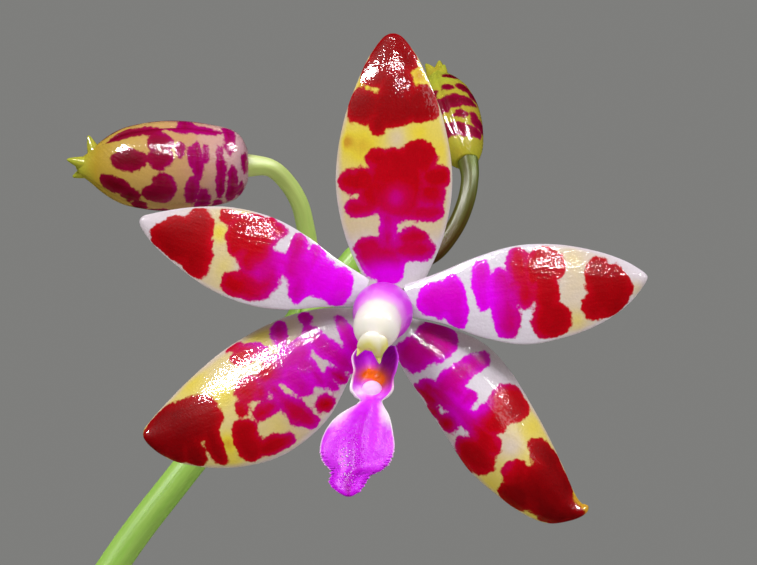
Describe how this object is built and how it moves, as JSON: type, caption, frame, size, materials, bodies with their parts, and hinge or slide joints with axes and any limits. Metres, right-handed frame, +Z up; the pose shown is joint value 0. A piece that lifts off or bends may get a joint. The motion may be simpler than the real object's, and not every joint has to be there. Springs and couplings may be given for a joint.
{
  "type": "potted phalaenopsis orchid",
  "caption": "Orchid in a plain clay pot of bark, with an arching flower spike, a waxy flower barred red, magenta and cream, closed buds, broad leaves and aerial roots.",
  "frame": {"origin": "centre of the pot's flat underside, in the middle of its drain hole; the base mount lies 22 mm from it, on the clay", "axes": "+Z up, the open flower faces -Y, the flower spike leans towards +X"},
  "size_m": [0.3002, 0.11, 0.2945],
  "materials": {
    "terracotta": "matt unglazed clay",
    "bark": "rough, split bark chips",
    "stem": "dull green with dry leaf scars",
    "leaf": "waxy, satin gloss",
    "root": "dull silver with a green growing tip",
    "stalk": "smooth, faintly waxy",
    "bud": "waxy, blotched magenta on ochre",
    "tepal": "waxy, barred crimson and magenta on cream",
    "column": "fleshy satin white, magenta at its foot",
    "anther": "pale yellow satin",
    "lip": "velvety magenta with papillae"
  },
  "bodies": {
    "root": {"pot": "terracotta", "bark": "bark", "stem": "stem", "leaf_1": "leaf", "leaf_2": "leaf", "leaf_3": "leaf", "leaf_4": "leaf", "leaf_5": "leaf", "root_over_rim_left": "root", "root_over_rim_back": "root", "root_front": "root", "root_back": "root", "root_left": "root", "flower_spike": "stalk", "pedicel_flower": "stalk", "pedicel_bud_left": "stalk", "pedicel_bud_right": "stalk", "bud_left": "bud", "bud_right": "bud", "dorsal_sepal": "tepal", "petal_left": "tepal", "petal_right": "tepal", "lateral_sepal_left": "tepal", "lateral_sepal_right": "tepal", "column": "column", "anther_cap": "anther", "lip": "lip"}
  },
  "joints": []
}
